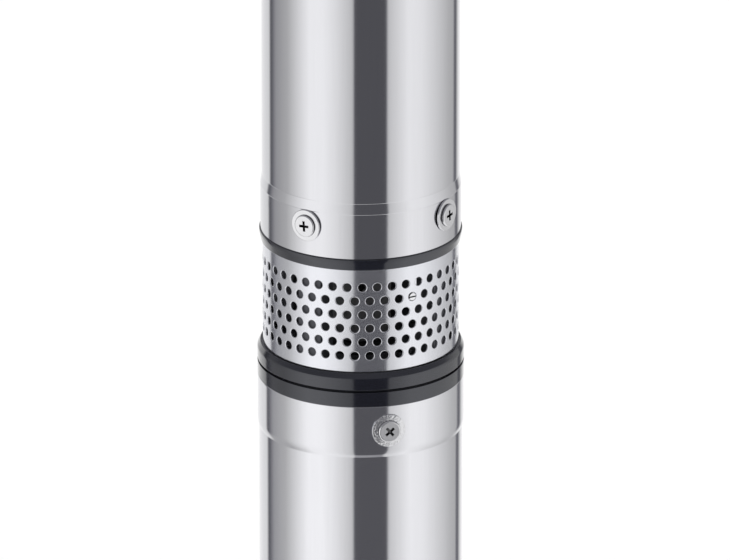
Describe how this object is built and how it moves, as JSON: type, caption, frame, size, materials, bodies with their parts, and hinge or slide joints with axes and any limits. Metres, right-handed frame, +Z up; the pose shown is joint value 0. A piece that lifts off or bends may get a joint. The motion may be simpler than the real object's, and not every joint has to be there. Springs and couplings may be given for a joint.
{
  "type": "borehole submersible pump",
  "caption": "Slim upright borehole pump: polished steel motor tube below, perforated intake strainer between black rings, multistage pump tube and threaded outlet with rope eyes above.",
  "frame": {"origin": "centre of the flat underside of the bottom cap", "axes": "+Z up along the shaft towards the outlet, -Y the front that the picture shows"},
  "size_m": [0.096, 0.0994, 0.6093],
  "materials": {
    "stainless_tube": "polished stainless steel",
    "fastener_steel": "bright stainless steel",
    "black_gloss": "gloss black moulding",
    "black_paint": "gloss black coated casting",
    "shaft_steel": "turned and ground steel",
    "spring_steel": "drawn stainless wire",
    "lamination": "stacked electrical sheet",
    "copper": "enamelled copper wire",
    "rotor_aluminium": "cast",
    "seal_ceramic": "lapped ceramic",
    "seal_carbon": "lapped carbon",
    "rubber": "matt black",
    "stage_plastic": "glass-filled moulding",
    "brass": "machined"
  },
  "bodies": {
    "casing": {"motor_tube": "stainless_tube", "pump_tube": "stainless_tube", "strainer": "stainless_tube", "strainer_tab": "stainless_tube", "motor_tube_screws": "fastener_steel", "motor_cup_washers": "fastener_steel", "pump_tube_screws": "fastener_steel", "pump_tube_washers": "fastener_steel", "strainer_rivet": "fastener_steel", "bracket_bolts": "fastener_steel", "inlet_body": "black_gloss", "discharge_head": "black_gloss", "motor_bracket": "black_paint", "bottom_cap": "black_paint", "valve_seat": "shaft_steel", "lower_bearing_outer_ring": "shaft_steel", "upper_bearing_outer_ring": "shaft_steel", "valve_spring": "spring_steel", "stator_core": "lamination", "stator_winding": "copper", "seal_seat": "seal_ceramic", "lower_o_ring": "rubber", "upper_o_ring": "rubber", "inlet_o_ring": "rubber", "head_o_ring": "rubber", "gland_grommet": "rubber", "cable_grommet": "rubber", "lower_bush": "rubber", "upper_bush": "rubber", "diffuser_1": "stage_plastic", "diffuser_2": "stage_plastic", "diffuser_3": "stage_plastic", "diffuser_4": "stage_plastic", "diffuser_5": "stage_plastic", "top_bearing_bracket": "stage_plastic", "valve_guide": "stage_plastic", "thread_insert": "brass", "cable_gland": "brass"},
    "rotor": {"motor_shaft": "shaft_steel", "rotor_core": "lamination", "rotor_end_rings": "rotor_aluminium", "lower_bearing_inner_ring": "shaft_steel", "upper_bearing_inner_ring": "shaft_steel", "seal_ring": "seal_carbon", "seal_spring": "spring_steel", "seal_collar": "shaft_steel", "sand_slinger": "rubber", "coupling": "shaft_steel", "pump_shaft": "shaft_steel", "impeller_1": "stage_plastic", "impeller_2": "stage_plastic", "impeller_3": "stage_plastic", "impeller_4": "stage_plastic", "impeller_5": "stage_plastic", "shaft_nut": "fastener_steel"},
    "lower_ball_set": {"lower_bearing_balls": "shaft_steel"},
    "upper_ball_set": {"upper_bearing_balls": "shaft_steel"},
    "check_valve": {"valve_poppet": "stage_plastic", "valve_seal": "rubber"}
  },
  "joints": [
    {"name": "rotor_spin", "type": "hinge", "parent": "casing", "child": "rotor", "pos_m": [0, 0, 0.2], "axis": [0, 0, 1], "continuous": true},
    {"name": "lower_ball_roll", "type": "hinge", "parent": "casing", "child": "lower_ball_set", "pos_m": [0, 0, 0.0345], "axis": [0, 0, 1], "continuous": true},
    {"name": "upper_ball_roll", "type": "hinge", "parent": "casing", "child": "upper_ball_set", "pos_m": [0, 0, 0.246], "axis": [0, 0, 1], "continuous": true},
    {"name": "check_valve_lift", "type": "slide", "parent": "casing", "child": "check_valve", "axis": [0, 0, 1], "range_m": [0, 0.007], "stiffness_N_per_m": 100, "springref_m": -0.01, "deforming": ["valve_spring"]}
  ],
  "couplings": [
    {"joint": "lower_ball_roll", "follows": "rotor_spin", "ratio": 0.38},
    {"joint": "upper_ball_roll", "follows": "rotor_spin", "ratio": 0.3789}
  ]
}
